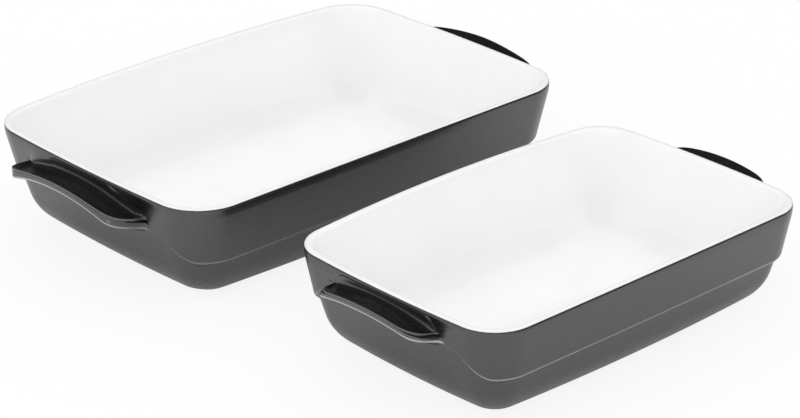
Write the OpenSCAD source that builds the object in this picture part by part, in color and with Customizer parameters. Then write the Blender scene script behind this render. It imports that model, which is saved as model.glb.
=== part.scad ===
// Two glazed stoneware oven dishes of one design, in two sizes that nest.
// The large dish stands behind (+Y), the small one in front (-Y), both on Z = 0.
// The length of each dish runs along X, with a moulded handle at each end.

/* [Large dish] */
// Length over the rim, without the handles
large_length = 358.4; // [300:0.1:420]
// Width over the rim
large_width = 246.4; // [200:0.1:300]
// Height of the rim at the corners
large_height = 79.6; // [72:0.1:95]
// Corner radius of the rim outline
large_corner = 36; // [28:1:48]
// Height of the step edge on the long sides
large_step_z = 35.2; // [30:0.1:40]
// Width of a handle
large_handle_width = 135; // [110:1:150]
// How far a handle stands out past the rim
large_handle_reach = 22.5; // [14:0.1:30]
// Height of the lip's lower edge at the handle's middle
large_lip_z = 68.4; // [60:0.1:69]
// Height that the lip's lower edge loses from the middle to the handle's ends
large_lip_drop = 16.6; // [6:0.1:18]
// Height of the bead on the lip's edge at the handle's middle
large_bead_z = 73.9; // [72:0.1:75]
// Height that the bead loses from the middle to the handle's ends
large_bead_drop = 10.9; // [3:0.1:12]

/* [Small dish] */
// Length over the rim, without the handles
small_length = 301; // [260:0.1:340]
// Width over the rim
small_width = 203; // [180:0.1:240]
// Height of the rim at the corners
small_height = 75.1; // [72:0.1:85]
// Corner radius of the rim outline
small_corner = 30; // [26:1:40]
// Height of the step edge on the long sides
small_step_z = 37.8; // [30:0.1:40]
// Width of a handle
small_handle_width = 106; // [90:1:115]
// How far a handle stands out past the rim
small_handle_reach = 19; // [14:0.1:26]
// Height of the lip's lower edge at the handle's middle
small_lip_z = 66; // [57:0.1:67]
// Height that the lip's lower edge loses from the middle to the handle's ends
small_lip_drop = 10.6; // [5:0.1:14]
// Height of the bead on the lip's edge at the handle's middle
small_bead_z = 70.6; // [69:0.1:71]
// Height that the bead loses from the middle to the handle's ends
small_bead_drop = 8.4; // [2:0.1:10]

/* [Walls, both dishes] */
// Outward bow of a long side at its middle
long_bow = 3.4; // [1:0.1:6]
// Outward bow of an end at its middle
end_bow = 2; // [0.5:0.1:4]
// Extra height of the rim at the middle of a long side
rim_rise = 2.2; // [0:0.1:4]
// Thickness of the wall at the rim
wall = 5.6; // [4.5:0.1:8]
// Thickness of the floor
floor_thickness = 6; // [4.5:0.1:9]
// Radius where the inside wall meets the floor
inside_radius = 24; // [16:0.5:28]
// Radius where the outside wall turns under to the foot
outside_radius = 33; // [28:0.5:36]
// How far the upper band stands proud of the lower wall
step_depth = 3.3; // [2:0.1:4.5]
// Height of the sloping face under the upper band
step_drop = 3; // [2.5:0.1:6]

/* [Rim and handle edges] */
// Depth of the rim's widest line under its top
rim_round = 3; // [2:0.1:3.2]
// Inset of the line where the white glaze meets the black glaze on the rim
rim_inset = 0.8; // [0.3:0.1:1.2]
// Height of the handle's underside, from the lip to the wall
handle_root = 11; // [8:0.5:16]
// Depth of the hollow behind the scoop's crest, at the handle's ends
hollow_depth = 2.2; // [1:0.1:2.6]

/* [Foot and glaze] */
// Height of the foot ring's outer face
foot_height = 1.6; // [1.5:0.1:4]
// Width of the foot ring's bearing face
foot_width = 8; // [5:0.5:14]
// Depth of the recess under the base
base_recess = 2.6; // [1.5:0.1:3.5]
// Height of the bare clay at the bottom of the foot ring
bare_foot = 0.5; // [0.4:0.1:1.2]
// Thickness of the glaze coats
glaze = 0.6; // [0.4:0.05:0.8]

/* [Set] */
// Gap between the two rims
set_gap = 52.8; // [20:0.1:120]

/* [Hidden] */

// Colours of the fired clay, the black glaze and the white glaze
clay_colour = [0.80, 0.72, 0.62];
black_colour = [0.16, 0.15, 0.15];
white_colour = [0.96, 0.96, 0.95];

// Outward lean of the lower wall and of the inside wall, as slopes
lower_slope_share = 0.25;
inside_slope_share = 0.254;
// Height under the rim over which the upper band turns from upright into its lean
rim_swell = 5;
// Depth under the top at which the white glaze meets the black glaze
rim_edge = 0.5;
// Radius of the rim's inner edge
inner_round = 2.2;

// How fast the corner radius shrinks as the outline moves in, as a share of the inset
corner_shrink_share = 0.6;

// Places across half a handle, from its middle, as shares of its half width
handle_shares = [0, 0.3, 0.52, 0.68, 0.79, 0.87, 0.93, 0.98, 1.07];
// Places round a corner and along half a long side
corner_shares = [0, 0.25, 0.5, 0.75, 1];
side_shares = [0.55, 0];

// How high each line of the handle's section runs out on the plain band past the handle,
// as shares of the band's height from the step edge to the rim
line_shares = [0.1, 0.32, 0.42, 0.54, 0.62, 0.7, 0.86];

// Shares of the hollow's ramp: its width at the bead's end and under the rim, and how much
// further out it starts under the rim
low_ramp = 3.2;
high_ramp = 8;
ramp_shift = 4.5;

// Places down the handle's underside, as a share of the way from the wall to the lip
under_share = 0.5;

// Angles of the round under the outside wall and of the inside round
outer_turns = [60, 42, 22];
inner_turns = [0, 0.34, 0.67, 1];

// Shape of each handle: [lean of the band as a slope, bow of the lip in plan, share of the half
// width at which the lip turns in, squareness of the lip's end, power of the lip's fall, height
// of the lip's face, share at which the bead ends, share at which it turns in, squareness of
// its end, power of its fall, share at which the scoop's crest leaves the rim, power of the
// crest's fall, depth of the scoop, share at which the hollow ends, shift along the end]
large_handle = [0.205, 1.2, 0.55, 2.6, 2.05, 4.6, 0.985, 0.533, 3.4, 1.8, 0.4, 1, 3.5, 0.96, 2.5];
small_handle = [0.168, 1.9, 0.476, 2.9, 2.19, 2.9, 0.932, 0.452, 2.8, 2.05, 0.64, 1.7, 2, 0.92, 1];

// Sizes of one dish, in the order that the functions below read them
large = [large_length, large_width, large_height, large_corner, large_step_z,
    large_handle_width / 2, large_handle_reach, large_lip_z, large_lip_drop,
    large_bead_z, large_bead_drop, large_handle];
small = [small_length, small_width, small_height, small_corner, small_step_z,
    small_handle_width / 2, small_handle_reach, small_lip_z, small_lip_drop,
    small_bead_z, small_bead_drop, small_handle];

function rim_height(dish) = dish[2];
function corner(dish) = dish[3];
function step_edge(dish) = dish[4];
function handle_half(dish) = min(dish[5], core_y(dish) * 0.92);
function reach(dish) = dish[6];
function lip_edge(dish) = dish[7];
function lip_drop(dish) = dish[8];
function bead_edge(dish) = dish[9];
function bead_drop(dish) = dish[10];
function shape(dish, index) = dish[11][index];

// Half sides of the core rectangle on which the rounded outline is drawn
function core_x(dish) = dish[0] / 2 - end_bow - corner(dish);
function core_y(dish) = dish[1] / 2 - long_bow - corner(dish);

function mix(a, b, t) = a + (b - a) * t;
function smooth(t) = let (c = min(max(t, 0), 1)) c * c * (3 - 2 * c);
function unit(v) = v / norm(v);

// One station of a quarter outline: [core x share, core y share, bow x, bow y, normal,
// distance from the handle's middle, share of the long side's rise]
function end_station(dish, y, side) =
    let (moved = y - shape(dish, 14) * side * (1 - pow(y / core_y(dish), 2)))
    let (share = moved / core_y(dish))
    [1, share, end_bow * (1 - share * share), 0,
        unit([core_y(dish), 2 * end_bow * share]), y, 0];

function corner_station(dish, share) =
    let (first = atan(2 * end_bow / core_y(dish)))
    let (last = 90 - atan(2 * long_bow / core_x(dish)))
    let (angle = mix(first, last, share))
    [1, 1, 0, 0, [cos(angle), sin(angle)],
        core_y(dish) + corner(dish) * angle * PI / 180, 0];

function side_station(dish, share) =
    [share, 1, 0, long_bow * (1 - share * share),
        unit([2 * long_bow * share, core_x(dish)]),
        core_y(dish) + corner(dish) * PI / 2 + core_x(dish) * (1 - share),
        1 - share * share];

function quarter(dish, side) = concat(
    [for (s = handle_shares) end_station(dish, s * handle_half(dish), side)],
    [for (s = corner_shares) corner_station(dish, s)],
    [for (s = side_shares) side_station(dish, s)]);

// The whole outline, counter-clockwise from the middle of the +X end
function turned(station, sx, sy) =
    [station[0] * sx, station[1] * sy, station[2] * sx, station[3] * sy,
        [station[4][0] * sx, station[4][1] * sy], station[5], station[6]];

function outline(dish) =
    let (q = quarter(dish, 1))
    let (w = quarter(dish, -1))
    let (last = len(q) - 1)
    concat(
        [for (i = [0 : last - 1]) turned(q[i], 1, 1)],
        [for (i = [last : -1 : 1]) turned(w[i], -1, 1)],
        [for (i = [0 : last - 1]) turned(q[i], -1, -1)],
        [for (i = [last : -1 : 1]) turned(w[i], 1, -1)]);

// A point of the outline moved in by an inset, at a height
function place(dish, station, inset, z) =
    let (drawn_in = inset * (1 - corner_shrink_share))
    let (radius = corner(dish) - inset * corner_shrink_share)
    [station[0] * (core_x(dish) - drawn_in) + station[2] + station[4][0] * radius,
        station[1] * (core_y(dish) - drawn_in) + station[3] + station[4][1] * radius,
        z];

// Inset of the upper band: upright under the rim, then leaning in towards the step
function band_inset(dish, top, z) =
    let (down = max(top - z - rim_round, 0))
    shape(dish, 0) * (down < rim_swell ? down * down / (2 * rim_swell) : down - rim_swell / 2);

// Inset of the lower wall, straight at first and then round to the foot
function wall_inset(dish, z) =
    let (root = step_edge(dish) - step_drop)
    let (start = band_inset(dish, rim_height(dish), step_edge(dish)) + step_depth)
    let (lean = atan(lower_slope_share))
    let (centre = start + (root - outside_radius) * lower_slope_share + outside_radius / cos(lean))
    let (turn_z = outside_radius * (1 - sin(lean)))
    z >= turn_z ? start + (root - z) * lower_slope_share
        : centre - sqrt(max(pow(outside_radius, 2) - pow(outside_radius - z, 2), 0));

function foot_inset(dish) = wall_inset(dish, foot_height);

// Height of the step edge: near level on the long sides, climbing round the corner to the handle
function edge_z(dish, station) =
    let (across = station[5] / handle_half(dish))
    let (handle_end = lip_edge(dish) - lip_drop(dish))
    let (corner_middle = core_y(dish) + corner(dish) * PI / 4)
    across <= 1
        ? lip_edge(dish) - lip_drop(dish) * pow(across, shape(dish, 4))
        : mix(step_edge(dish) + rim_rise * station[6], handle_end,
            smooth((corner_middle - station[5]) / (corner_middle - handle_half(dish))));

// How far the lip's lower edge stands out past the rim
function edge_out(dish, station, edge) =
    let (top = rim_height(dish) + rim_rise * station[6])
    let (across = station[5] / handle_half(dish))
    let (gone = pow(smooth((across - shape(dish, 2)) / (1 - shape(dish, 2))), shape(dish, 3)))
    mix(reach(dish) - shape(dish, 1) * across * across, -band_inset(dish, top, edge), gone);

// 1 within the handle and its hollow, 0 on the band, with a ramp between
function hollow_share(dish, travel, z) =
    let (high = min(max((z - rim_height(dish) + 17.5) / 13, 0), 1))
    let (ramp = mix(low_ramp, high_ramp, high))
    let (end = handle_half(dish) * shape(dish, 13) + ramp_shift * high)
    1 - smooth((travel - end + ramp / 2) / ramp);

// Corners of the handle's section above its lower edge, as [inset, height]
function grip_rows(dish, travel, out, edge, top) =
    let (tip = handle_half(dish) * shape(dish, 6))
    let (t = min(travel / tip, 1))
    let (bead_z = bead_edge(dish) - bead_drop(dish) * pow(t, shape(dish, 9)))
    let (last_z = bead_edge(dish) - bead_drop(dish))
    let (turn_from = shape(dish, 7) / shape(dish, 6))
    let (kept = 1 - pow(min(max((t - turn_from) / (1 - turn_from), 0), 1), shape(dish, 8)))
    let (bead_in = mix(band_inset(dish, top, last_z) + hollow_depth,
        0.3 - reach(dish) + shape(dish, 1) * t * t, kept))
    let (crest_from = shape(dish, 10) / shape(dish, 6))
    let (along = min(max((t - crest_from) / (1 - crest_from), 0), 1))
    let (high_z = top - rim_round)
    let (crest_z = high_z - 0.6 - (high_z - last_z - 3) * pow(along, shape(dish, 11)))
    let (crest_in = mix(0, band_inset(dish, top, crest_z) + hollow_depth, pow(along, 4)))
    let (width = max(crest_in - bead_in, 0))
    let (scoop_z = bead_z - min(shape(dish, 12), width * 0.24))
    let (rise = crest_z - scoop_z)
    let (corner_in = crest_in - min(0.5, width * 0.1))
    let (hollow_z = max(top - 5, mix(crest_z, high_z, 0.4)))
    let (face_z = min(edge + shape(dish, 5), bead_z - 2))
    [
        [mix(-out + 0.1, bead_in, bead_in < -out ? 0 : 0.5), face_z],
        [bead_in, bead_z],
        [bead_in + min(width * 0.3, 6), scoop_z],
        [corner_in - min(rise * 0.8, width * 0.4), scoop_z],
        [corner_in - min(rise * 0.8, width * 0.4) * 0.22, mix(scoop_z, crest_z, 0.25)],
        [crest_in, crest_z],
        [mix(0, band_inset(dish, top, hollow_z) + hollow_depth, smooth(along * 1.6)), hollow_z]
    ];

// Visible section of the outside, from the glaze line on the foot up to the white glaze
function outside_rows(dish, station) =
    let (travel = station[5])
    let (top = rim_height(dish) + rim_rise * station[6])
    let (edge = edge_z(dish, station))
    let (out = edge_out(dish, station, edge))
    let (lip = smooth(max(out + band_inset(dish, top, edge), 0) / 12))
    let (root_z = edge - mix(step_drop, handle_root, lip))
    let (join_z = root_z - mix(1.2, 5, lip))
    let (plain_from = handle_half(dish))
    let (plain_to = core_y(dish) + corner(dish) * 0.7)
    let (keep = 1 - smooth((travel - plain_from) / (plain_to - plain_from)))
    let (grip = grip_rows(dish, travel, out, edge, top))
    [
        [foot_inset(dish), bare_foot],
        [foot_inset(dish), foot_height],
        for (turn = outer_turns)
            let (z = outside_radius * (1 - sin(turn)))
            [wall_inset(dish, z), z],
        [wall_inset(dish, join_z), join_z],
        [mix(wall_inset(dish, root_z), -out, under_share * lip * 0.3), root_z],
        [-out, edge],
        for (i = [0 : len(grip) - 1])
            let (level = mix(mix(edge, top - rim_round, line_shares[i]), grip[i][1], keep))
            [mix(band_inset(dish, top, level), grip[i][0], hollow_share(dish, travel, level)), level],
        [0, top - rim_round],
        [rim_inset, top - rim_edge]
    ];

// Visible section of the lining, from its edge on the rim over the crown and down to the floor
function lining_rows(dish, station) =
    let (top = rim_height(dish) + rim_rise * station[6])
    let (floor_z = base_recess + floor_thickness)
    let (lean = atan(inside_slope_share))
    let (centre_z = floor_z + inside_radius)
    let (centre = wall + (rim_height(dish) - centre_z) * inside_slope_share
        + inside_radius / cos(lean))
    [
        [rim_inset + 1, top],
        [wall - inner_round, top],
        [wall, top - inner_round],
        for (turn = inner_turns)
            let (angle = mix(lean, 90, turn))
            [centre - inside_radius * cos(angle), centre_z - inside_radius * sin(angle)]
    ];

// Section of the clay under the glaze: each point moved in square to the section
function under_glaze(rows) =
    let (last = len(rows) - 1)
    [for (i = [0 : last])
        i == 0 ? rows[i] + [glaze, 0]
        : i == last ? rows[i] - [0, glaze]
        : let (along = unit(rows[i + 1] - rows[i - 1]))
            rows[i] + [along[1], -along[0]] * glaze];

// Foot ring's bearing face and the recess under the base, as seen and under the glaze
function foot_rows(dish) = [
    [foot_inset(dish) + glaze + foot_width, bare_foot],
    [foot_inset(dish) + glaze + foot_width, 0],
    [foot_inset(dish) + glaze, 0]
];
function recess_rows(dish, coat) =
    let (inner = foot_inset(dish) + foot_width + glaze + coat)
    [[inner + base_recess, base_recess - coat], [inner, bare_foot]];

// Rings of points round the dish, one for each row of the section
function rings(dish, rows) =
    let (line = outline(dish))
    [for (r = [0 : len(rows[0]) - 1])
        [for (i = [0 : len(line) - 1]) place(dish, line[i], rows[i][r][0], rows[i][r][1])]];

function round_rows(dish, rows) =
    rings(dish, [for (station = outline(dish)) rows]);

// Triangles between two rings, with the diagonal chosen so that coats match the clay
function belt(count, low, high, mirrored) =
    [for (i = [0 : count - 1])
        let (j = (i + 1) % count)
        each mirrored
            ? [[low + i, high + i, low + j], [low + j, high + i, high + j]]
            : [[low + i, high + j, low + j], [low + i, high + i, high + j]]];

function middle(ring) = [0, 0, ring[0][2]];

// A solid between stacked rings, closed by a flat cap at each end
module capped(stack, turn_at) {
    count = len(stack[0]);
    last = len(stack) - 1;
    points = concat([for (ring = stack) each ring], [middle(stack[0]), middle(stack[last])]);
    first_cap = [for (i = [0 : count - 1]) [count * (last + 1), i, (i + 1) % count]];
    last_cap = [for (i = [0 : count - 1])
        [count * (last + 1) + 1, count * last + (i + 1) % count, count * last + i]];
    belts = [for (k = [0 : last - 1]) each belt(count, k * count, (k + 1) * count, k >= turn_at)];
    polyhedron(points = points, faces = concat(first_cap, belts, last_cap), convexity = 8);
}

// A solid whose last ring joins its first one, as a coat does that runs round a wall
module looped(stack, turn_at) {
    count = len(stack[0]);
    total = len(stack);
    belts = [for (k = [0 : total - 1])
        each belt(count, k * count, ((k + 1) % total) * count, k >= turn_at)];
    polyhedron(points = [for (ring = stack) each ring], faces = belts, convexity = 8);
}

function reversed(list) = [for (i = [len(list) - 1 : -1 : 0]) list[i]];

function whole_section(dish) =
    [for (station = outline(dish))
        concat(outside_rows(dish, station), lining_rows(dish, station))];

function clay_section(dish) = [for (rows = whole_section(dish)) under_glaze(rows)];

function outside_count(dish) = len(outside_rows(dish, outline(dish)[0]));

module stoneware_body(dish) {
    color(clay_colour)
        capped(concat(
            round_rows(dish, recess_rows(dish, 0)),
            round_rows(dish, [foot_rows(dish)[1], foot_rows(dish)[2]]),
            rings(dish, clay_section(dish))), 1000);
}

module outer_glaze(dish) {
    count = outside_count(dish);
    seen = rings(dish, whole_section(dish));
    under = rings(dish, clay_section(dish));
    color(black_colour)
        looped(concat(
            [for (i = [0 : count - 1]) seen[i]],
            [for (i = [count - 1 : -1 : 0]) under[i]]), count);
}

module lining_glaze(dish) {
    first = outside_count(dish) - 1;
    seen = rings(dish, whole_section(dish));
    under = rings(dish, clay_section(dish));
    last = len(seen) - 1;
    color(white_colour)
        capped(concat(
            [for (i = [last : -1 : first]) under[i]],
            [for (i = [first : last]) seen[i]]), 0);
}

module base_glaze(dish) {
    color(black_colour)
        capped(concat(
            round_rows(dish, recess_rows(dish, glaze)),
            reversed(round_rows(dish, recess_rows(dish, 0)))), 2);
}

// Places of the two dishes, so that the set is centred on the origin
set_depth = large_width + set_gap + small_width;
module at_back() {
    translate([0, (set_depth - large_width) / 2, 0]) children();
}
module in_front() {
    translate([0, (small_width - set_depth) / 2, 0]) children();
}

module large_stoneware_body() { at_back() stoneware_body(large); }
module large_outer_glaze() { at_back() outer_glaze(large); }
module large_lining_glaze() { at_back() lining_glaze(large); }
module large_base_glaze() { at_back() base_glaze(large); }
module small_stoneware_body() { in_front() stoneware_body(small); }
module small_outer_glaze() { in_front() outer_glaze(small); }
module small_lining_glaze() { in_front() lining_glaze(small); }
module small_base_glaze() { in_front() base_glaze(small); }

large_stoneware_body();
large_outer_glaze();
large_lining_glaze();
large_base_glaze();
small_stoneware_body();
small_outer_glaze();
small_lining_glaze();
small_base_glaze();
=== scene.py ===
"""Looks of a set of two oven dishes: satin-black glaze outside, white glaze inside.

Each dish is a loft of smooth filleted sections round its rim outline. The clay, the black
glaze, the white lining and the glaze under the base are separate pieces, as in the CAD.
Shape sizes are in millimetres and are turned into metres when a mesh is made.
"""

import math

import bpy
import numpy as np
from mathutils import Matrix, Vector
from mathutils.bvhtree import BVHTree


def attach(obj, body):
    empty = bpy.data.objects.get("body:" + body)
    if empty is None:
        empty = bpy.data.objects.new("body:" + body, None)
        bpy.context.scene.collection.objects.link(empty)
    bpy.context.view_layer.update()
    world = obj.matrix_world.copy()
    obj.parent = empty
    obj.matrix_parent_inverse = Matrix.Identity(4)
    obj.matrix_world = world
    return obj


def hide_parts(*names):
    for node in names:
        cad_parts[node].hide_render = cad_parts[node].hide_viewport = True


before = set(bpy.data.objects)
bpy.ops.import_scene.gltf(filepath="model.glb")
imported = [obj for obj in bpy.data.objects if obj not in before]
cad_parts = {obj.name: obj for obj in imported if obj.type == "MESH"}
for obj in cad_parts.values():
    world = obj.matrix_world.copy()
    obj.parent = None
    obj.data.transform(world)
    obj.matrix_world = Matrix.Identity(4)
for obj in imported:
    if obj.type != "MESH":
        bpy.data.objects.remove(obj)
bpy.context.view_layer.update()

MM = 0.001

# Sizes of the two dishes. Each handle is given by places along the end, counted from the
# handle's middle (names that end in _start, lip_end, tip and pocket), by heights and drops
# of its lower edge (lip) and its upper outer edge (bead), and by the powers of their curves.
LARGE = {
    "name": "large", "body": "large_dish", "middle_y": 127.9,
    "length": 358.2, "width": 246.2, "height": 79.5, "corner": 36.0, "lean": 0.205,
    "step_z": 35.2, "reach": 22.4, "lip_bow": 1.2, "lip_z": 68.4, "lip_drop": 16.6,
    "drop_power": 2.05, "lip_start": 37.0, "lip_end": 67.5, "lip_power": 2.6, "face": 4.6,
    "tip": 66.5, "turn_start": 36.0, "turn_power": 3.4, "bead_z": 73.9, "bead_drop": 10.9,
    "bead_power": 1.8, "ridge_start": 27.0, "ridge_power": 1.0, "scoop": 3.5,
    "groove_start": 53.0, "pocket": 64.8, "shift": 2.5,
}
SMALL = {
    "name": "small", "body": "small_dish", "middle_y": -149.6,
    "length": 300.8, "width": 202.8, "height": 75.0, "corner": 30.0, "lean": 0.168,
    "step_z": 37.8, "reach": 18.9, "lip_bow": 1.9, "lip_z": 66.0, "lip_drop": 10.6,
    "drop_power": 2.19, "lip_start": 25.3, "lip_end": 53.2, "lip_power": 2.9, "face": 2.9,
    "tip": 49.5, "turn_start": 24.0, "turn_power": 2.8, "bead_z": 70.6, "bead_drop": 8.4,
    "bead_power": 2.05, "ridge_start": 34.0, "ridge_power": 1.7, "scoop": 2.0,
    "groove_start": 38.5, "pocket": 48.8, "shift": 1.0,
}

# Bows of the sides and of the rim line
LONG_BOW = 3.4
END_BOW = 2.0
RIM_RISE = 2.2

# Walls
WALL = 5.6
FLOOR = 6.0
INSIDE_RADIUS = 24.0
INSIDE_SLOPE = 0.254
OUTSIDE_RADIUS = 33.0
LOWER_SLOPE = 0.25
STEP_DEPTH = 3.3
STEP_DROP = 3.0
CORNER_SHRINK = 0.6
GLAZE = 0.6

# Rim
RIM_EDGE = 0.5
RIM_INSET = 0.8
RIM_ROUND = 3.0
RIM_SWELL = 5.0
CROWN_ROUND = 1.6
CROWN_ANGLE = 50
INNER_ROUND = 2.2
INNER_ANGLE = 14

# Foot and base
FOOT_HEIGHT = 1.6
FOOT_WIDTH = 8.0
BARE_FOOT = 0.5
BASE_RECESS = 2.6
BASE_COVE = 1.55

# Handles
LIP_SPAN = 19.0
UNDERSIDE_DROP = 11.0
JOIN_DROP = (1.2, 5.0)
BEAD_HEIGHT = 2.0
GROOVE_DEPTH = 4.5
GROOVE_RAMP = 7
SLOT_DEPTH = 3.2
RIDGE_RISE = 2.4
RIDGE_SWELL = 0.7
RIDGE_INSET = 0.4
SCOOP_SHARE = 0.24
WALL_TOP = 4.0

# The recess round the handle's ends: how its border is softened, and how far it is drawn in
# near the rim, over a zone that is counted down from the rim
RECESS_RAMP = 5.0
RECESS_TOP_RAMP = 9.0
RECESS_TOP_SHIFT = -6.0
RECESS_LOW = 17.5
RECESS_ZONE = 13

# The handle's section corners: share of the band's height at which each runs out, and radius
GRIP_SHARES = (0.08, 0.16, 0.24, 0.32, 0.42, 0.54, 0.68, 0.78, 0.9)
GRIP_RADII = (1.3, 0.8, 0.9, 1.6, 5.0, 8.0, 5.0, 3.0, 3.0)
PLAIN_RADIUS = 0.5

# Radii where the underside leaves the wall and at the lower edge, on the band and on the handle
ROOT_RADII = (1.6, 6.0)
EDGE_RADII = (2.0, 1.5)

# Rows from the wall's top over the handle's corners to the rim: over each corner, on the
# straight before it, and the shares of the straights next to it that its round may take up
CORNER_ROWS = (0, 8, 6, 5, 4, 4, 7, 6, 14, 5, 4, 4, 0)
STRAIGHT_ROWS = (0, 2, 6, 2, 2, 2, 2, 2, 4, 2, 2, 2, 2)
HALF = (0.48, 0.48)
STRAIGHT_SHARES = (HALF,) * 7 + ((0.48, 0.25), (0.7, 0.62), (0.36, 0.48)) + (HALF,) * 3

# Spacing of the stations along the end, and numbers of stations and rows
HANDLE_STEP = 2.4
HANDLE_END_STEP = 0.7
END_STEP = 2.2
CORNER_STATIONS = 21
SIDE_STATIONS = 19
WALL_ROWS = 26
RIM_ROWS = 8
CAP_RINGS = 5

# Coat's inner side: thickness that is looked for, as a multiple of the coat, and least share
UNDER_START = 0.02
UNDER_REACH = 4
UNDER_LEAST = 0.08
UNDER_SMOOTHING = 4

# Rows of the outside that get a painted highlight on their edges: up to the foot, up to the lower
# edge, and the bead
FOOT_ROWS = 14
EDGE_ROWS = 54
BEAD_ROWS = (68, 80)

# Strength of the painted highlight on the edges, over which reach the handle's strength comes in,
# and from which bend in 1/mm it comes in
LIP_FADE = 6
FOOT_EDGE = 1.3
STEP_EDGE = 2.2
LIP_EDGE = 1.6
BEAD_EDGE = 0.25
EDGE_FROM = 0.16
EDGE_RAMP = 0.4
EDGE_SIZE = 0.35

# The painted highlight line where the wall turns under: height, spread and strength
FOOT_LINE = 5.0
FOOT_SPREAD = 1.5
FOOT_HIGHLIGHT_STRENGTH = 1.2

# Pattern sizes of the glazes' colour, of the painted edge highlight's breakup, and of grain
CLOUD_SCALE = 14.0
HIGHLIGHT_BREAKUP_SCALE = 220.0
GRAIN_SCALE = 900.0

# Shares of white that the camera and mirrored rays see on the floor, and the floor's size in m
CAMERA_WHITE = 0.88
GLOSSY_WHITE = 0.2
FLOOR_SIZE = 30.0

# The world: strength of the soft light, and the mirrored gradient's direction, span and least
SOFT_LIGHT = 0.98
GRADIENT_TOWARDS = (-0.6, -0.35, -0.72)
GRADIENT_SPAN = (-0.2, 0.3)
GRADIENT_LEAST = 0.04


def mix(a, b, t):
    return a + (b - a) * t


def smooth(t):
    t = min(max(t, 0.0), 1.0)
    return t * t * (3 - 2 * t)


def core(dish):
    """Half sides of the rectangle on which the rounded rim outline is drawn."""
    return (dish["length"] / 2 - END_BOW - dish["corner"],
            dish["width"] / 2 - LONG_BOW - dish["corner"])


# The rim outline: stations with a core share, a bow, a normal and a travel along the outline

def end_station(dish, y, sx, sy):
    """A station on an end, at the distance y from the middle of its handle."""
    core_y = core(dish)[1]
    share = (y * sy - dish["shift"] * sx * (1 - (y / core_y) ** 2)) / core_y
    normal = np.array([core_y, 2 * END_BOW * share])
    normal /= np.hypot(*normal)
    return [sx, share, sx * END_BOW * (1 - share * share), 0.0,
            np.array([normal[0] * sx, normal[1]]), y, 0.0]


def corner_station(dish, share):
    core_x, core_y = core(dish)
    first = math.atan(2 * END_BOW / core_y)
    last = math.pi / 2 - math.atan(2 * LONG_BOW / core_x)
    angle = mix(first, last, share)
    travel = core_y + dish["corner"] * angle
    return [1.0, 1.0, 0.0, 0.0, np.array([math.cos(angle), math.sin(angle)]), travel, 0.0]


def side_station(dish, share):
    core_x, core_y = core(dish)
    normal = np.array([2 * LONG_BOW * share, core_x])
    normal /= np.hypot(*normal)
    travel = core_y + dish["corner"] * math.pi / 2 + core_x * (1 - share)
    return [share, 1.0, 0.0, LONG_BOW * (1 - share ** 2), normal, travel, 1 - share ** 2]


def handle_places(dish):
    """Distances from the handle's middle, closer together where the handle ends."""
    core_y = core(dish)[1]
    fine_from, fine_to = dish["turn_start"], dish["pocket"] + 5.0
    coarse = np.arange(0, fine_from, HANDLE_STEP)
    fine = np.arange(fine_from, fine_to, HANDLE_END_STEP)
    count = max(3, int((core_y - fine_to) / END_STEP) + 1)
    rest = np.linspace(fine_to, core_y, count)[:-1]
    return list(np.concatenate([coarse, fine, rest]))


def outline(dish):
    """All stations, counter-clockwise from the middle of the +X end."""
    places = handle_places(dish)
    others = [corner_station(dish, s) for s in np.linspace(0, 1, CORNER_STATIONS)]
    others += [side_station(dish, s) for s in np.linspace(1, 0, SIDE_STATIONS)[1:]]
    line = []
    for sx, sy in ((1, 1), (-1, 1), (-1, -1), (1, -1)):
        quarter = [end_station(dish, y, sx, sy) for y in places]
        quarter += [[q[0] * sx, q[1] * sy, q[2] * sx, q[3] * sy,
                     q[4] * np.array([sx, sy]), q[5], q[6]] for q in others]
        line += quarter[:-1] if sx * sy > 0 else quarter[:0:-1]
    return line


def place(dish, station, inset, z):
    """A point of the outline, moved in by an inset, at a height, in metres in the set's frame."""
    core_x, core_y = core(dish)
    drawn_in = inset * (1 - CORNER_SHRINK)
    radius = dish["corner"] - inset * CORNER_SHRINK
    x = station[0] * (core_x - drawn_in) + station[2] + station[4][0] * radius
    y = station[1] * (core_y - drawn_in) + station[3] + station[4][1] * radius
    return (x * MM, (y + dish["middle_y"]) * MM, z * MM)


# Section of the outside, from the foot to the rim

def band_inset(dish, top, z):
    """Inset of the upper band: upright under the rim, then leaning in towards the step."""
    down = max(top - z - RIM_ROUND, 0.0)
    if down < RIM_SWELL:
        return dish["lean"] * down ** 2 / (2 * RIM_SWELL)
    return dish["lean"] * (down - RIM_SWELL / 2)


def wall_inset(dish, z):
    """Inset of the lower wall, straight at first and then round to the foot."""
    root = dish["step_z"] - STEP_DROP
    start = band_inset(dish, dish["height"], dish["step_z"]) + STEP_DEPTH
    lean = math.atan(LOWER_SLOPE)
    centre = start + (root - OUTSIDE_RADIUS) * LOWER_SLOPE + OUTSIDE_RADIUS / math.cos(lean)
    turn_z = OUTSIDE_RADIUS * (1 - math.sin(lean))
    if z >= turn_z:
        return start + (root - z) * LOWER_SLOPE
    return centre - math.sqrt(max(OUTSIDE_RADIUS ** 2 - (OUTSIDE_RADIUS - z) ** 2, 0.0))


def lower_edge(dish, station):
    """How far the band's lower edge stands out past the rim, and its height."""
    travel, rise = station[5], station[6]
    top = dish["height"] + RIM_RISE * rise
    end = dish["lip_end"]
    low_end = dish["lip_z"] - dish["lip_drop"]
    if travel <= end:
        z = dish["lip_z"] - dish["lip_drop"] * (travel / end) ** dish["drop_power"]
    else:
        middle = core(dish)[1] + dish["corner"] * math.pi / 4
        up = smooth((middle - travel) / (middle - end))
        z = mix(dish["step_z"] + RIM_RISE * rise, low_end, up)
    gone = smooth((travel - dish["lip_start"]) / (end - dish["lip_start"])) ** dish["lip_power"]
    bowed = dish["reach"] - dish["lip_bow"] * (travel / end) ** 2
    return mix(bowed, -band_inset(dish, top, z), gone), z


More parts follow.
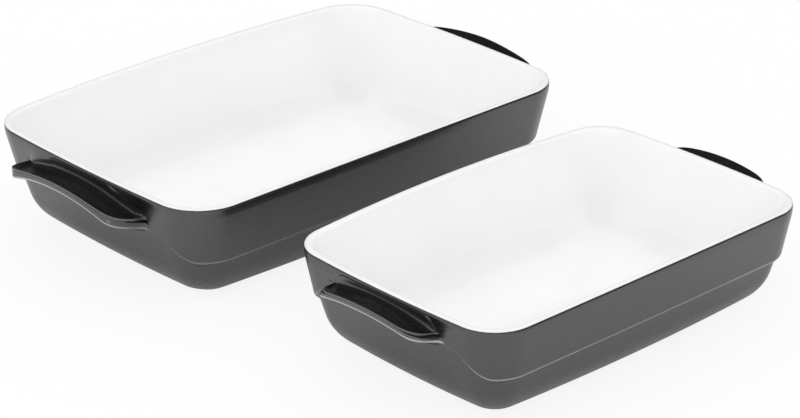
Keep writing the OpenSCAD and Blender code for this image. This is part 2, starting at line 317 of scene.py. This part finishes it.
def recess_share(dish, travel, z):
    """1 in the recess round the handle's end, 0 on the band, with a soft border between."""
    high = min(max((z - dish["height"] + RECESS_LOW) / RECESS_ZONE, 0), 1)
    ramp = mix(RECESS_RAMP, RECESS_TOP_RAMP, high)
    return 1 - smooth((travel - dish["pocket"] - RECESS_TOP_SHIFT * high + ramp / 2) / ramp)


def rounded(points, radii):
    """A polyline with its corners rounded, sampled with the same number of rows each time."""
    points = [np.array(point, float) for point in points]
    rows = [points[0]]
    leave = points[0]
    for i in range(1, len(points)):
        if i == len(points) - 1:
            enter = points[i]
        else:
            before, after = points[i] - points[i - 1], points[i + 1] - points[i]
            long_before = max(np.hypot(*before), 1e-9)
            long_after = max(np.hypot(*after), 1e-9)
            shares = STRAIGHT_SHARES[i]
            cut = min(radii[i], long_before * shares[0], long_after * shares[1])
            enter = points[i] - before / long_before * cut
        for s in range(1, STRAIGHT_ROWS[i] + 1):
            rows.append(mix(leave, enter, s / STRAIGHT_ROWS[i]))
        if i < len(points) - 1:
            out = points[i] + after / long_after * cut
            for s in range(1, CORNER_ROWS[i] + 1):
                t = s / CORNER_ROWS[i]
                rows.append(mix(mix(enter, points[i], t), mix(points[i], out, t), t))
            leave = out
    return rows


def grip_points(dish, travel, out, edge, top):
    """Corners of the handle's section above its lower edge, as (inset, height)."""
    tip = dish["tip"]
    t = min(travel, tip)
    bead_z = dish["bead_z"] - dish["bead_drop"] * (t / tip) ** dish["bead_power"]
    last_z = dish["bead_z"] - dish["bead_drop"]
    turn = min(max((t - dish["turn_start"]) / (tip - dish["turn_start"]), 0), 1)
    kept = 1 - turn ** dish["turn_power"]
    far_in = 0.3 - dish["reach"] + dish["lip_bow"] * (t / tip) ** 2
    bead_in = mix(band_inset(dish, top, last_z) + SLOT_DEPTH * 0.5, far_in, kept)
    along = min(max((t - dish["ridge_start"]) / (tip - dish["ridge_start"]), 0), 1)
    high_z = top - RIM_ROUND
    ridge_z = high_z - (high_z - last_z - RIDGE_RISE) * along ** dish["ridge_power"]
    ridge_in = mix(-RIDGE_SWELL, band_inset(dish, top, ridge_z) + RIDGE_INSET, along ** 3)
    width = max(ridge_in - bead_in, 0.0)
    scoop_z = bead_z - min(dish["scoop"], width * SCOOP_SHARE)

    # The face over the lower edge, then the groove under the bead's overhang
    open_up = smooth((t - dish["groove_start"]) / GROOVE_RAMP)
    over = max(-bead_in - out, 0.0)
    bead_low = bead_z - BEAD_HEIGHT
    face_z = min(edge + dish["face"], bead_low)
    face_in = mix(-out + 0.1, bead_in, 0.0 if over > 0 else 0.5 * (1 - open_up))
    groove_in = min(max(face_in, bead_in) + GROOVE_DEPTH * open_up,
                    band_inset(dish, top, face_z) + SLOT_DEPTH)
    groove_z = mix(mix(face_z, bead_low, 0.5), face_z + 0.2, open_up)
    under_z = max(bead_low, groove_z + 0.6 * open_up)

    # The round cove up to its crest, and the upright wall over the crest
    corner_in = ridge_in - min(0.5, width * 0.1)
    wall_z = max(top - WALL_TOP, mix(ridge_z, high_z, 0.6))
    return [
        [face_in, face_z],
        [mix(mix(face_in, bead_in, 0.5), groove_in, open_up), groove_z],
        [bead_in + mix(0.1, 0.5, open_up), under_z],
        [bead_in, bead_z],
        [bead_in + min(width * 0.3, 6.0), scoop_z],
        [corner_in, scoop_z],
        [ridge_in, ridge_z],
        [ridge_in * 0.55, mix(ridge_z, wall_z, 0.45)],
        [min(ridge_in * 0.2, 0.3), wall_z],
    ]


def outside_rows(dish, station):
    """Visible section of the black glaze, as (inset, height), from the foot up to the rim."""
    travel, rise = station[5], station[6]
    top = dish["height"] + RIM_RISE * rise
    out, edge = lower_edge(dish, station)
    on_lip = min(max(out + band_inset(dish, top, edge), 0) / LIP_SPAN, 1)
    lip = smooth(on_lip)

    # Foot, the round under the wall, and the wall up to where the underside joins it
    foot_in = wall_inset(dish, FOOT_HEIGHT)
    root_z = edge - mix(STEP_DROP, UNDERSIDE_DROP, lip)
    join_z = root_z - mix(*JOIN_DROP, lip)
    rows = [np.array([foot_in + 0.25, BARE_FOOT]), np.array([foot_in, BARE_FOOT + 0.35]),
            np.array([foot_in, mix(BARE_FOOT, FOOT_HEIGHT, 0.6)]),
            np.array([foot_in, FOOT_HEIGHT - 0.25])]
    for s in np.linspace(0, 1, WALL_ROWS)[:-1]:
        z = mix(FOOT_HEIGHT + 0.12, join_z, s ** 1.5)
        rows.append(np.array([wall_inset(dish, z), z]))

    # The handle's corners, which run out on the plain band past the handle's end
    plain_from = dish["pocket"] + RECESS_RAMP
    plain_to = core(dish)[1] + dish["corner"] * 0.7
    keep = 1 - smooth((travel - plain_from) / (plain_to - plain_from))
    rim_start = top - RIM_ROUND
    upper = []
    for share, (inset, z) in zip(GRIP_SHARES, grip_points(dish, travel, out, edge, top)):
        level = mix(mix(edge, rim_start, share), z, keep)
        plain = band_inset(dish, top, level)
        in_grip = recess_share(dish, travel, level)
        upper.append(np.array([mix(plain, inset, in_grip), level]))
    points = [np.array([wall_inset(dish, join_z), join_z]),
              np.array([wall_inset(dish, root_z), root_z]),
              np.array([-out, edge])] + upper + [np.array([0.0, rim_start])]
    grip = recess_share(dish, travel, edge)
    radii = [0, mix(*ROOT_RADII, smooth(on_lip * 2)), mix(*EDGE_RADII, lip)]
    radii += [mix(PLAIN_RADIUS, radius, grip) for radius in GRIP_RADII] + [0]
    rows += rounded(points, radii)

    # The black glaze's turn over the outer edge, up to the line where the white starts
    for share in np.linspace(0, 1, RIM_ROWS)[1:]:
        rows.append(rim_edge(top, share))
    return rows


def rim_edge(top, share):
    """The outer edge under the rim, from the widest line up to the white glaze's edge."""
    up = share * (RIM_ROUND - RIM_EDGE)
    return np.array([RIM_INSET * share ** 2.1, top - RIM_ROUND + up])


def lining_rows(dish, station):
    """Visible section of the white glaze: over the rim, down the wall and into the floor."""
    top = dish["height"] + RIM_RISE * station[6]
    floor_z = BASE_RECESS + FLOOR
    lean = math.atan(INSIDE_SLOPE)
    centre_z = floor_z + INSIDE_RADIUS
    centre = WALL + (dish["height"] - centre_z) * INSIDE_SLOPE + INSIDE_RADIUS / math.cos(lean)
    rows = [rim_edge(top, 1.0) + [0.0, 0.06]]
    start = math.radians(CROWN_ANGLE)
    for angle in np.linspace(CROWN_ANGLE, 90, 6):
        a = math.radians(angle)
        across = (math.cos(start) - math.cos(a)) / math.cos(start)
        down = RIM_EDGE * (1 - math.sin(a)) / (1 - math.sin(start))
        rows.append(np.array([mix(RIM_INSET, CROWN_ROUND, across), top - down]))
    for s in (0.33, 0.66):
        rows.append(np.array([mix(CROWN_ROUND, WALL - INNER_ROUND, s), top + 0.02]))
    for angle in np.linspace(90, INNER_ANGLE, 9):
        a = math.radians(angle)
        rows.append(np.array([WALL - INNER_ROUND + INNER_ROUND * math.cos(a),
                              top - INNER_ROUND + INNER_ROUND * math.sin(a)]))
    start_in = WALL + INNER_ROUND * INSIDE_SLOPE
    start_z = top - INNER_ROUND - 1.0
    first = np.array([centre - INSIDE_RADIUS * math.cos(lean),
                      centre_z - INSIDE_RADIUS * math.sin(lean)])
    for s in np.linspace(0, 1, 9)[:-1]:
        rows.append(np.array([mix(start_in, first[0], s), mix(start_z, first[1], s)]))
    for s in np.linspace(0, 1, 22):
        a = mix(lean, math.pi / 2, s)
        rows.append(np.array([centre - INSIDE_RADIUS * math.cos(a),
                              centre_z - INSIDE_RADIUS * math.sin(a)]))
    return rows


# Meshes

def rings(dish, line, sections):
    return [[place(dish, s, *row[k]) for s, row in zip(line, sections)]
            for k in range(len(sections[0]))]


def mesh_object(name, vertices, faces, material):
    mesh = bpy.data.meshes.new(name)
    mesh.from_pydata(vertices, [], faces)
    mesh.polygons.foreach_set("use_smooth", [True] * len(mesh.polygons))
    mesh.update()
    obj = bpy.data.objects.new(name, mesh)
    obj.data.materials.append(material)
    bpy.context.scene.collection.objects.link(obj)
    return obj


def loft(name, stack, material, closed=False, caps=()):
    """Quads between stacked rings. caps holds (ring number, upwards) of the flat ends."""
    count = len(stack[0])
    vertices = [tuple(p) for ring in stack for p in ring]
    faces = []
    pairs = [(k, k + 1) for k in range(len(stack) - 1)]
    if closed:
        pairs.append((len(stack) - 1, 0))
    for low, high in pairs:
        for i in range(count):
            j = (i + 1) % count
            faces.append((low * count + i, low * count + j, high * count + j, high * count + i))
    for ring, upwards in caps:
        points = np.array(stack[ring])
        centre = points.mean(axis=0)
        last = [ring * count + i for i in range(count)]
        for s in range(1, CAP_RINGS):
            shrunk = points + (centre - points) * (s / CAP_RINGS)
            first = len(vertices)
            vertices += [tuple(p) for p in shrunk]
            current = [first + i for i in range(count)]
            for i in range(count):
                j = (i + 1) % count
                quad = (last[i], last[j], current[j], current[i])
                faces.append(quad if upwards else quad[::-1])
            last = current
        vertices.append(tuple(centre))
        middle = len(vertices) - 1
        for i in range(count):
            j = (i + 1) % count
            faces.append((last[i], last[j], middle) if upwards else (last[j], last[i], middle))
    return mesh_object(name, vertices, faces, material)


def normals(points):
    """Outward normals of stacked rings."""
    along = np.roll(points, -1, axis=1) - np.roll(points, 1, axis=1)
    up = np.gradient(points, axis=0)
    normal = np.cross(along, up)
    return normal / np.maximum(np.linalg.norm(normal, axis=2, keepdims=True), 1e-12)


def under(points, depth):
    """Rings moved in square to their own surface, less where the section is thin."""
    normal = normals(points)
    rows, count = points.shape[:2]
    quads = [(k * count + i, k * count + (i + 1) % count, (k + 1) * count + (i + 1) % count,
              (k + 1) * count + i) for k in range(rows - 1) for i in range(count)]
    tree = BVHTree.FromPolygons([tuple(p) for p in points.reshape(-1, 3)], quads)
    reach = depth * UNDER_REACH * MM
    share = np.ones((rows, count))
    for k in range(rows):
        for i in range(count):
            inward = Vector(-normal[k, i])
            start = Vector(points[k, i]) + inward * UNDER_START * MM
            distance = tree.ray_cast(start, inward, reach)[3]
            if distance is not None:
                share[k, i] = max(distance / reach, UNDER_LEAST)
    for _ in range(UNDER_SMOOTHING):
        near = np.minimum(np.roll(share, 1, axis=1), np.roll(share, -1, axis=1))
        above = np.vstack([share[1:], share[-1:]])
        below = np.vstack([share[:1], share[:-1]])
        low = np.minimum(np.minimum(near, share), np.minimum(above, below))
        share = 0.5 * share + 0.5 * low
    return points - normal * (share * depth * MM)[:, :, None]


def edge_shares(points):
    """1 on tightly rounded outer edges of stacked rings and 0 on flats, for the painted
    highlight.
    """
    normal = normals(points)

    def curvature(before, after):
        long_before = np.maximum(np.linalg.norm(before, axis=2, keepdims=True), 1e-9)
        long_after = np.maximum(np.linalg.norm(after, axis=2, keepdims=True), 1e-9)
        turn = before / long_before - after / long_after
        size = (long_before + long_after)[:, :, 0] / 2
        return np.sum(turn * normal, axis=2) / np.maximum(size, EDGE_SIZE * MM) * MM

    up = np.vstack([points[1:] - points[:-1], points[-1:] - points[-2:-1]])
    down = np.vstack([up[:1], up[:-1]])
    around = np.roll(points, -1, axis=1) - points
    bend = np.maximum(curvature(down, up), curvature(np.roll(around, 1, axis=1), around) * 2)
    share = np.clip((bend - EDGE_FROM) / EDGE_RAMP, 0, 1)
    return 0.5 * share + 0.25 * (np.roll(share, 1, axis=1) + np.roll(share, -1, axis=1))


# Materials

def new_material(name):
    material = bpy.data.materials.new(name)
    material.use_nodes = True
    tree = material.node_tree
    tree.nodes.clear()
    return material, tree


def link(tree, a, b):
    tree.links.new(a, b)


def noise(tree, vector, scale, detail, roughness):
    node = tree.nodes.new("ShaderNodeTexNoise")
    node.inputs["Scale"].default_value = scale
    node.inputs["Detail"].default_value = detail
    node.inputs["Roughness"].default_value = roughness
    link(tree, vector, node.inputs["Vector"])
    return node.outputs["Fac"]


def ramp(tree, value, stops):
    node = tree.nodes.new("ShaderNodeValToRGB")
    elements = node.color_ramp.elements
    while len(elements) < len(stops):
        elements.new(0.5)
    for element, (position, colour) in zip(elements, stops):
        element.position = position
        element.color = (*colour, 1.0)
    link(tree, value, node.inputs["Fac"])
    return node.outputs["Color"]


def spread(tree, value, low, high):
    node = tree.nodes.new("ShaderNodeMapRange")
    node.inputs["To Min"].default_value = low
    node.inputs["To Max"].default_value = high
    link(tree, value, node.inputs["Value"])
    return node.outputs["Result"]


def glaze_material(name, colours, roughness, ior, shine, bump, ripple, highlight_colour=None):
    """A fired surface: pooled colour, an uneven gloss, a soft ripple and a fine grain.

    bump holds the strength and the depth in metres of the ripple and then of the grain.
    highlight_colour is the painted highlight's colour on the edges marked in the attribute named
    edge.
    """
    material, tree = new_material(name)
    output = tree.nodes.new("ShaderNodeOutputMaterial")
    shader = tree.nodes.new("ShaderNodeBsdfPrincipled")
    shader.inputs["IOR"].default_value = ior
    shader.inputs["Specular IOR Level"].default_value = shine
    coordinates = tree.nodes.new("ShaderNodeTexCoord")
    where = coordinates.outputs["Object"]
    cloud = noise(tree, where, CLOUD_SCALE, 4.0, 0.55)
    fine = noise(tree, where, GRAIN_SCALE, 2.0, 0.6)
    colour = ramp(tree, cloud, [(0.3, colours[0]), (0.7, colours[1])])
    if highlight_colour is None:
        link(tree, colour, shader.inputs["Base Color"])
    else:
        # Painted highlight: the base colour is mixed towards a light grey on edges marked in the
        # mesh, broken up by noise
        edge = tree.nodes.new("ShaderNodeAttribute")
        edge.attribute_name = "edge"
        amount = tree.nodes.new("ShaderNodeMath")
        amount.operation = "MULTIPLY"
        highlight_breakup = noise(tree, where, HIGHLIGHT_BREAKUP_SCALE, 3.0, 0.6)
        link(tree, edge.outputs["Fac"], amount.inputs[0])
        link(tree, spread(tree, highlight_breakup, 0.6, 1.3), amount.inputs[1])
        blend = tree.nodes.new("ShaderNodeMix")
        blend.data_type = "RGBA"
        link(tree, amount.outputs[0], blend.inputs["Factor"])
        link(tree, colour, blend.inputs["A"])
        blend.inputs["B"].default_value = (*highlight_colour, 1)
        link(tree, blend.outputs["Result"], shader.inputs["Base Color"])
    link(tree, spread(tree, fine, *roughness), shader.inputs["Roughness"])
    wave = noise(tree, where, ripple, 2.0, 0.4)
    bumps = tree.nodes.new("ShaderNodeBump")
    bumps.inputs["Strength"].default_value = bump[0]
    bumps.inputs["Distance"].default_value = bump[1]
    link(tree, wave, bumps.inputs["Height"])
    grain = tree.nodes.new("ShaderNodeBump")
    grain.inputs["Strength"].default_value = bump[2]
    grain.inputs["Distance"].default_value = bump[3]
    link(tree, fine, grain.inputs["Height"])
    link(tree, bumps.outputs["Normal"], grain.inputs["Normal"])
    link(tree, grain.outputs["Normal"], shader.inputs["Normal"])
    link(tree, shader.outputs["BSDF"], output.inputs["Surface"])
    return material


# The black glaze's last colour is that of its painted highlight on rounded edges
black_glaze = glaze_material(
    "black_glaze", colours=((0.0052, 0.0038, 0.0042), (0.0078, 0.0058, 0.0064)),
    roughness=(0.25, 0.31), ior=1.6, shine=0.95, bump=(0.25, 0.0006, 0.06, 0.00004),
    ripple=38.0, highlight_colour=(0.36, 0.352, 0.345))
white_glaze = glaze_material(
    "white_glaze", colours=((0.90, 0.90, 0.897), (0.93, 0.93, 0.927)),
    roughness=(0.12, 0.18), ior=1.5, shine=0.5, bump=(0.2, 0.0005, 0.03, 0.00003), ripple=30.0)
clay = glaze_material(
    "stoneware", colours=((0.50, 0.40, 0.30), (0.62, 0.52, 0.41)),
    roughness=(0.72, 0.88), ior=1.45, shine=0.5, bump=(0.3, 0.0004, 0.5, 0.0001), ripple=120.0)


# The two dishes

def highlight_weight(dish, station, row):
    """Strength of the painted highlight on an edge: most on the step and the handle's lower edge.
    """
    out, _ = lower_edge(dish, station)
    if row < FOOT_ROWS:
        return FOOT_EDGE
    if row < EDGE_ROWS:
        return mix(STEP_EDGE, LIP_EDGE, smooth(out / LIP_FADE))
    return BEAD_EDGE if BEAD_ROWS[0] <= row < BEAD_ROWS[1] else 0.0


def painted_foot_highlight(points):
    """A painted highlight line where the wall turns under to the foot."""
    return FOOT_HIGHLIGHT_STRENGTH * np.exp(-((points[:, :, 2] / MM - FOOT_LINE) / FOOT_SPREAD) ** 2)


def build(dish):
    name, body = dish["name"], dish["body"]
    line = outline(dish)
    outside = [outside_rows(dish, s) for s in line]
    inside = [lining_rows(dish, s) for s in line]
    foot_in = wall_inset(dish, FOOT_HEIGHT)
    inner = foot_in + FOOT_WIDTH + GLAZE

    skin = np.array(rings(dish, line, outside))
    back = under(skin, GLAZE)
    coat = loft(f"{name}_black_glaze", np.concatenate([skin, back[::-1]]), black_glaze,
                closed=True)
    # Painted highlight on the black glaze: its strength on rounded edges and along the line where
    # the wall turns under
    painted_highlight = edge_shares(skin) * np.array([[highlight_weight(dish, s, k) for s in line]
                                         for k in range(len(skin))])
    painted_highlight = np.maximum(painted_highlight, painted_foot_highlight(skin))
    edges = coat.data.attributes.new("edge", "FLOAT", "POINT")
    edges.data.foreach_set("value", np.concatenate([painted_highlight, painted_highlight * 0]).ravel())

    cover = np.array(rings(dish, line, inside))
    behind = under(cover, GLAZE)
    lining = loft(f"{name}_white_glaze", np.concatenate([behind[::-1], cover]), white_glaze,
                  caps=((0, False), (2 * len(cover) - 1, True)))

    def level(pairs):
        return rings(dish, line, [pairs] * len(line))

    foot = level([(inner, BASE_RECESS - 0.2), (inner, 0.5), (inner - 0.4, 0.0),
                  (foot_in + GLAZE + 0.5, 0.0), (foot_in + GLAZE, 0.4)])
    stack = np.concatenate([foot, back, behind])
    body_piece = loft(f"{name}_clay", stack, clay, caps=((0, False), (len(stack) - 1, True)))

    base = level([(inner + 0.1, BASE_RECESS - 0.1), (inner + 0.02, BARE_FOOT),
                  (inner + BASE_RECESS * 0.5, BASE_COVE),
                  (inner + BASE_RECESS, BASE_RECESS - GLAZE)])
    under_piece = loft(f"{name}_base_glaze", base, black_glaze, caps=((0, True), (3, False)))

    for piece, node, slot in ((coat, "outer_glaze", "black_glaze"),
                              (lining, "lining_glaze", "white_glaze"),
                              (body_piece, "stoneware_body", "stoneware"),
                              (under_piece, "base_glaze", "black_glaze")):
        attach(piece, body)
        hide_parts(f"{name}_{node}")


build(LARGE)
build(SMALL)


# Floor, light and camera

def floor_material():
    """White paper: plain diffuse, and whiter to the camera than the soft shadow on it."""
    material, tree = new_material("paper")
    output = tree.nodes.new("ShaderNodeOutputMaterial")
    paper = tree.nodes.new("ShaderNodeBsdfDiffuse")
    paper.inputs["Color"].default_value = (0.9, 0.9, 0.9, 1)
    glow = tree.nodes.new("ShaderNodeEmission")
    glow.inputs["Color"].default_value = (1, 1, 1, 1)
    glow.inputs["Strength"].default_value = 1.0
    path = tree.nodes.new("ShaderNodeLightPath")
    seen = tree.nodes.new("ShaderNodeMath")
    seen.operation = "MULTIPLY_ADD"
    seen.inputs[1].default_value = CAMERA_WHITE
    link(tree, path.outputs["Is Camera Ray"], seen.inputs[0])
    shiny = tree.nodes.new("ShaderNodeMath")
    shiny.operation = "MULTIPLY"
    shiny.inputs[1].default_value = GLOSSY_WHITE
    link(tree, path.outputs["Is Glossy Ray"], shiny.inputs[0])
    link(tree, shiny.outputs[0], seen.inputs[2])
    blend = tree.nodes.new("ShaderNodeMixShader")
    link(tree, seen.outputs[0], blend.inputs["Fac"])
    link(tree, paper.outputs["BSDF"], blend.inputs[1])
    link(tree, glow.outputs["Emission"], blend.inputs[2])
    link(tree, blend.outputs["Shader"], output.inputs["Surface"])
    return material


def studio_world():
    """Plain white to the camera and soft white light, mirrored as a gradient, dark overhead."""
    world = bpy.data.worlds.new("studio")
    bpy.context.scene.world = world
    world.use_nodes = True
    tree = world.node_tree
    tree.nodes.clear()
    output = tree.nodes.new("ShaderNodeOutputWorld")
    direction = tree.nodes.new("ShaderNodeTexCoord")
    facing = tree.nodes.new("ShaderNodeVectorMath")
    facing.operation = "DOT_PRODUCT"
    facing.inputs[1].default_value = GRADIENT_TOWARDS
    link(tree, direction.outputs["Generated"], facing.inputs[0])
    height = tree.nodes.new("ShaderNodeMapRange")
    height.inputs["From Min"].default_value = GRADIENT_SPAN[0]
    height.inputs["From Max"].default_value = GRADIENT_SPAN[1]
    height.inputs["To Min"].default_value = GRADIENT_LEAST
    height.inputs["To Max"].default_value = 1.0
    link(tree, facing.outputs["Value"], height.inputs["Value"])
    soft = tree.nodes.new("ShaderNodeBackground")
    soft.inputs["Strength"].default_value = SOFT_LIGHT
    dark_above = tree.nodes.new("ShaderNodeBackground")
    link(tree, height.outputs["Result"], dark_above.inputs["Strength"])
    white = tree.nodes.new("ShaderNodeBackground")
    white.inputs["Strength"].default_value = 1.0
    for element in (soft, dark_above, white):
        element.inputs["Color"].default_value = (1, 1, 1, 1)
    path = tree.nodes.new("ShaderNodeLightPath")
    mirrored = tree.nodes.new("ShaderNodeMixShader")
    link(tree, path.outputs["Is Glossy Ray"], mirrored.inputs["Fac"])
    link(tree, soft.outputs[0], mirrored.inputs[1])
    link(tree, dark_above.outputs[0], mirrored.inputs[2])
    shown = tree.nodes.new("ShaderNodeMixShader")
    link(tree, path.outputs["Is Camera Ray"], shown.inputs["Fac"])
    link(tree, mirrored.outputs[0], shown.inputs[1])
    link(tree, white.outputs[0], shown.inputs[2])
    link(tree, shown.outputs[0], output.inputs["Surface"])


def area_lamp(name, location, target, size, power):
    data = bpy.data.lights.new(name, "AREA")
    data.shape = "SQUARE"
    data.size = size
    data.energy = power
    lamp = bpy.data.objects.new(name, data)
    bpy.context.scene.collection.objects.link(lamp)
    lamp.location = location
    aim = np.array(target, float) - np.array(location, float)
    lamp.rotation_mode = "QUATERNION"
    lamp.rotation_quaternion = Vector(aim).to_track_quat("-Z", "Y")
    lamp.visible_glossy = False


half = FLOOR_SIZE / 2
corners = [(-half, -half, 0), (half, -half, 0), (half, half, 0), (-half, half, 0)]
floor = mesh_object("floor", corners, [(0, 1, 2, 3)], floor_material())

studio_world()
area_lamp("key", location=(-1.5, -0.9, 2.6), target=(0, 0, 0), size=2.4, power=17.0)

# Camera, at the photograph's viewing angle
camera_data = bpy.data.cameras.new("camera")
camera_data.sensor_width = 36.0
camera_data.lens = 129.75
camera_data.clip_end = 100.0
camera = bpy.data.objects.new("camera", camera_data)
bpy.context.scene.collection.objects.link(camera)
right = (0.7387, -0.6739, -0.0107)
upward = (0.2897, 0.3032, 0.9078)
backward = (-0.6086, -0.6737, 0.4192)
camera.matrix_world = Matrix((
    (right[0], upward[0], backward[0], -1.2336),
    (right[1], upward[1], backward[1], -1.3656),
    (right[2], upward[2], backward[2], 0.8836),
    (0, 0, 0, 1)))
bpy.context.scene.camera = camera
bpy.context.scene.view_settings.view_transform = "Standard"
